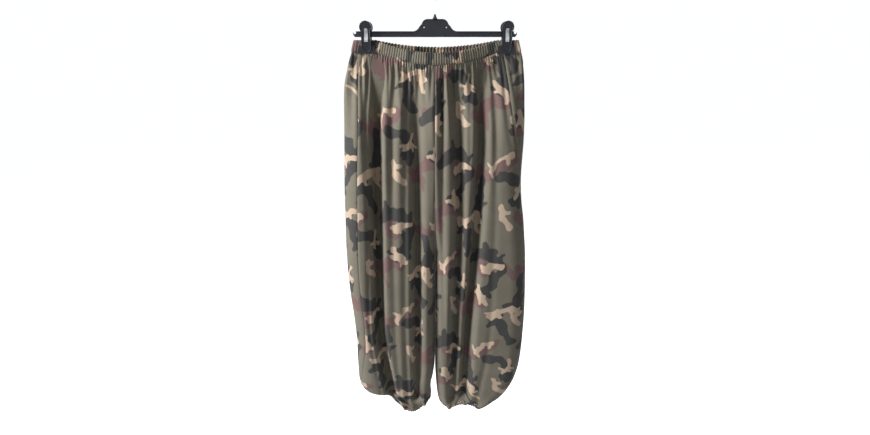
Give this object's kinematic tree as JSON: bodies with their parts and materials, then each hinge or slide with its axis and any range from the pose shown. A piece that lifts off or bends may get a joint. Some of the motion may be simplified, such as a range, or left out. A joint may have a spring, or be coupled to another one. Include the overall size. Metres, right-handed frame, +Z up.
{
  "type": "harem trousers on a clip hanger",
  "caption": "Loose harem trousers in camouflage-printed cloth with a ruched elastic waist, low crotch and gathered ankles, hung by the waistband from a black clip hanger with a steel hook.",
  "frame": {"origin": "inside top of the hanger's hook, where a rail carries it", "axes": "+Z up, the front of the trousers faces -Y, the wearer's left leg is at +X"},
  "size_m": [0.4794, 0.0913, 1.1548],
  "materials": {
    "printed_cloth": "thin smooth knit with a camouflage print of olive, brown, charcoal and tan",
    "black_plastic": "moulded, slightly glossy",
    "bright_steel": "plated wire and spring strip"
  },
  "bodies": {
    "root": {"front_left_leg_upper": "printed_cloth", "front_left_leg_lower": "printed_cloth", "front_right_leg": "printed_cloth", "back_left_leg_upper": "printed_cloth", "back_left_leg_lower": "printed_cloth", "back_right_leg": "printed_cloth", "waistband_front": "printed_cloth", "waistband_back": "printed_cloth", "left_cuff": "printed_cloth", "right_cuff": "printed_cloth", "hanger_bar": "black_plastic", "left_clip_front": "black_plastic", "left_clip_back": "black_plastic", "right_clip_front": "black_plastic", "right_clip_back": "black_plastic", "hanger_hook": "bright_steel", "left_clip_spring": "bright_steel", "right_clip_spring": "bright_steel"}
  },
  "joints": []
}
